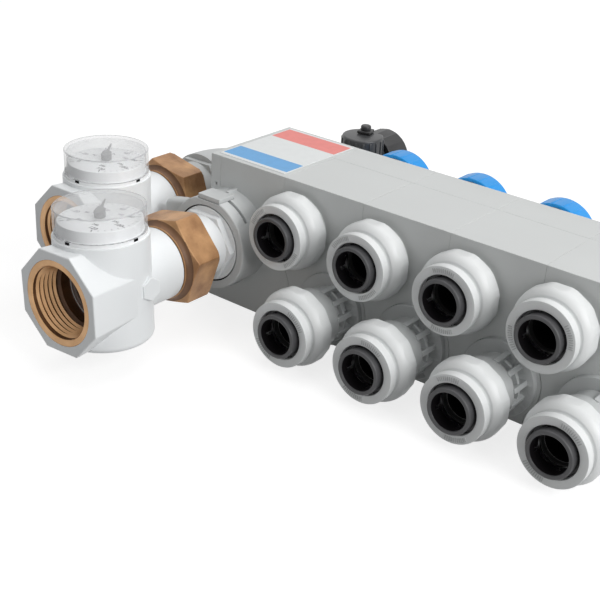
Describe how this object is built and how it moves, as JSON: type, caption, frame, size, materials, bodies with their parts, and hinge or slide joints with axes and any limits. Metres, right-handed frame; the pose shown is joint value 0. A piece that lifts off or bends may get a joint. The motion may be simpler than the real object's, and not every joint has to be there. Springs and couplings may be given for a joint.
{
  "type": "heating manifold",
  "caption": "Modular plastic heating manifold with push-fit outlets, gauge tees on brass unions, hand-capped valves and a drain valve.",
  "frame": {"origin": "centre of the underside of the block of modules, which is its wall face", "axes": "+X along the row of outlets away from the tees, -Y the way the outlets open, +Z out of the labelled face"},
  "size_m": [0.2921, 0.2263, 0.0754],
  "materials": {
    "block_plastic": "fine matt moulding",
    "cap_plastic": "satin moulding",
    "stem_plastic": "satin moulding",
    "collar_plastic": "satin moulding",
    "collet_plastic": "satin moulding",
    "blue_plastic": "semi-gloss moulding",
    "black_plastic": "satin moulding",
    "drain_plastic": "satin moulding",
    "brass": "turned and lightly tumbled",
    "white_plastic": "satin moulding",
    "clear_plastic": "clear gloss",
    "pointer_metal": "satin",
    "label_film": "satin film with two colour fields",
    "seal_rubber": "matt",
    "steel": "satin",
    "insert_plastic": "satin moulding"
  },
  "bodies": {
    "manifold": {"drain_body": "drain_plastic", "front_collar": "collar_plastic", "front_end_block": "block_plastic", "front_gauge_base": "white_plastic", "front_gauge_cover": "clear_plastic", "front_module_1": "block_plastic", "front_module_2": "block_plastic", "front_module_3": "block_plastic", "front_module_4": "block_plastic", "front_tailpiece": "white_plastic", "front_tee_body": "white_plastic", "grip_rings": "steel", "label_plate": "label_film", "left_end_plate": "block_plastic", "lower_stems": "stem_plastic", "rear_elbow": "collar_plastic", "rear_end_block": "block_plastic", "rear_gauge_base": "white_plastic", "rear_gauge_cover": "clear_plastic", "rear_module_1": "block_plastic", "rear_module_2": "block_plastic", "rear_module_3": "block_plastic", "rear_module_4": "block_plastic", "rear_tailpiece": "white_plastic", "rear_tee_body": "white_plastic", "right_end_plate": "block_plastic", "seals": "seal_rubber", "thread_inserts": "brass", "tie_rod_nuts": "steel", "tie_rods": "steel", "valve_inserts": "insert_plastic"},
    "outlet_cap_upper_1": {"outlet_cap_upper_1": "cap_plastic"},
    "outlet_cap_upper_2": {"outlet_cap_upper_2": "cap_plastic"},
    "outlet_cap_upper_3": {"outlet_cap_upper_3": "cap_plastic"},
    "outlet_cap_upper_4": {"outlet_cap_upper_4": "cap_plastic"},
    "outlet_cap_lower_1": {"outlet_cap_lower_1": "cap_plastic"},
    "outlet_cap_lower_2": {"outlet_cap_lower_2": "cap_plastic"},
    "outlet_cap_lower_3": {"outlet_cap_lower_3": "cap_plastic"},
    "outlet_cap_lower_4": {"outlet_cap_lower_4": "cap_plastic"},
    "collet_upper_1": {"collet_upper_1": "collet_plastic"},
    "collet_upper_2": {"collet_upper_2": "collet_plastic"},
    "collet_upper_3": {"collet_upper_3": "collet_plastic"},
    "collet_upper_4": {"collet_upper_4": "collet_plastic"},
    "collet_lower_1": {"collet_lower_1": "collet_plastic"},
    "collet_lower_2": {"collet_lower_2": "collet_plastic"},
    "collet_lower_3": {"collet_lower_3": "collet_plastic"},
    "collet_lower_4": {"collet_lower_4": "collet_plastic"},
    "hand_cap_1": {"hand_cap_1": "blue_plastic"},
    "hand_cap_2": {"hand_cap_2": "blue_plastic"},
    "hand_cap_3": {"hand_cap_3": "blue_plastic"},
    "hand_cap_4": {"hand_cap_4": "blue_plastic"},
    "front_union_nut": {"front_union_nut": "brass"},
    "rear_union_nut": {"rear_union_nut": "brass"},
    "front_gauge_pointer": {"front_gauge_pointer": "pointer_metal"},
    "rear_gauge_pointer": {"rear_gauge_pointer": "pointer_metal"},
    "drain_cap": {"drain_cap": "black_plastic"},
    "drain_knob": {"drain_knob": "black_plastic"},
    "locking_clip": {"locking_clip": "collar_plastic"}
  },
  "joints": [
    {"name": "outlet_cap_upper_1_turn", "type": "hinge", "parent": "manifold", "child": "outlet_cap_upper_1", "pos_m": [-0.0605, -0.0551, 0.0522], "axis": [0, -1, 0], "range_deg": [0, 180]},
    {"name": "collet_upper_1_press", "type": "slide", "parent": "outlet_cap_upper_1", "child": "collet_upper_1", "axis": [0, 1, 0], "range_m": [0, 0.0015]},
    {"name": "outlet_cap_upper_2_turn", "type": "hinge", "parent": "manifold", "child": "outlet_cap_upper_2", "pos_m": [-0.0155, -0.0551, 0.0522], "axis": [0, -1, 0], "range_deg": [0, 180]},
    {"name": "collet_upper_2_press", "type": "slide", "parent": "outlet_cap_upper_2", "child": "collet_upper_2", "axis": [0, 1, 0], "range_m": [0, 0.0015]},
    {"name": "outlet_cap_upper_3_turn", "type": "hinge", "parent": "manifold", "child": "outlet_cap_upper_3", "pos_m": [0.0295, -0.0551, 0.0522], "axis": [0, -1, 0], "range_deg": [0, 180]},
    {"name": "collet_upper_3_press", "type": "slide", "parent": "outlet_cap_upper_3", "child": "collet_upper_3", "axis": [0, 1, 0], "range_m": [0, 0.0015]},
    {"name": "outlet_cap_upper_4_turn", "type": "hinge", "parent": "manifold", "child": "outlet_cap_upper_4", "pos_m": [0.0745, -0.0551, 0.0522], "axis": [0, -1, 0], "range_deg": [0, 180]},
    {"name": "collet_upper_4_press", "type": "slide", "parent": "outlet_cap_upper_4", "child": "collet_upper_4", "axis": [0, 1, 0], "range_m": [0, 0.0015]},
    {"name": "outlet_cap_lower_1_turn", "type": "hinge", "parent": "manifold", "child": "outlet_cap_lower_1", "pos_m": [-0.0389, -0.0753, 0.01858], "axis": [0, -1, 0], "range_deg": [0, 180]},
    {"name": "collet_lower_1_press", "type": "slide", "parent": "outlet_cap_lower_1", "child": "collet_lower_1", "axis": [0, 1, 0], "range_m": [0, 0.0015]},
    {"name": "outlet_cap_lower_2_turn", "type": "hinge", "parent": "manifold", "child": "outlet_cap_lower_2", "pos_m": [0.0061, -0.0753, 0.01858], "axis": [0, -1, 0], "range_deg": [0, 180]},
    {"name": "collet_lower_2_press", "type": "slide", "parent": "outlet_cap_lower_2", "child": "collet_lower_2", "axis": [0, 1, 0], "range_m": [0, 0.0015]},
    {"name": "outlet_cap_lower_3_turn", "type": "hinge", "parent": "manifold", "child": "outlet_cap_lower_3", "pos_m": [0.0511, -0.0753, 0.01858], "axis": [0, -1, 0], "range_deg": [0, 180]},
    {"name": "collet_lower_3_press", "type": "slide", "parent": "outlet_cap_lower_3", "child": "collet_lower_3", "axis": [0, 1, 0], "range_m": [0, 0.0015]},
    {"name": "outlet_cap_lower_4_turn", "type": "hinge", "parent": "manifold", "child": "outlet_cap_lower_4", "pos_m": [0.0961, -0.0753, 0.01858], "axis": [0, -1, 0], "range_deg": [0, 180]},
    {"name": "collet_lower_4_press", "type": "slide", "parent": "outlet_cap_lower_4", "child": "collet_lower_4", "axis": [0, 1, 0], "range_m": [0, 0.0015]},
    {"name": "hand_cap_1_turn", "type": "hinge", "parent": "manifold", "child": "hand_cap_1", "pos_m": [-0.0605, 0.0375, 0.0522], "axis": [0, 1, 0], "range_deg": [-180, 180]},
    {"name": "hand_cap_2_turn", "type": "hinge", "parent": "manifold", "child": "hand_cap_2", "pos_m": [-0.0155, 0.0375, 0.0522], "axis": [0, 1, 0], "range_deg": [-180, 180]},
    {"name": "hand_cap_3_turn", "type": "hinge", "parent": "manifold", "child": "hand_cap_3", "pos_m": [0.0295, 0.0375, 0.0522], "axis": [0, 1, 0], "range_deg": [-180, 180]},
    {"name": "hand_cap_4_turn", "type": "hinge", "parent": "manifold", "child": "hand_cap_4", "pos_m": [0.0745, 0.0375, 0.0522], "axis": [0, 1, 0], "range_deg": [-180, 180]},
    {"name": "front_union_nut_turn", "type": "hinge", "parent": "manifold", "child": "front_union_nut", "pos_m": [-0.1014, -0.0795, 0.0372], "axis": [0, -1, 0], "continuous": true},
    {"name": "rear_union_nut_turn", "type": "hinge", "parent": "manifold", "child": "rear_union_nut", "pos_m": [-0.1537, -0.0286, 0.0372], "axis": [0, -1, 0], "continuous": true},
    {"name": "front_gauge_pointer_turn", "type": "hinge", "parent": "manifold", "child": "front_gauge_pointer", "pos_m": [-0.10331, -0.1204, 0.07035], "axis": [-0.0576, 0, 0.9983], "range_deg": [-180, 90]},
    {"name": "rear_gauge_pointer_turn", "type": "hinge", "parent": "manifold", "child": "rear_gauge_pointer", "pos_m": [-0.15416, -0.0695, 0.0704], "axis": [-0.014, 0, 0.9999], "range_deg": [-180, 90]},
    {"name": "drain_cap_turn", "type": "hinge", "parent": "manifold", "child": "drain_cap", "pos_m": [-0.093, 0.0635, 0.0521], "axis": [0, 1, 0], "continuous": true},
    {"name": "drain_knob_turn", "type": "hinge", "parent": "manifold", "child": "drain_knob", "pos_m": [-0.093, 0.057, 0.0656], "axis": [0, 0, 1], "range_deg": [0, 90]},
    {"name": "locking_clip_lift", "type": "slide", "parent": "manifold", "child": "locking_clip", "axis": [0, 0, 1], "range_m": [0, 0.02]}
  ]
}
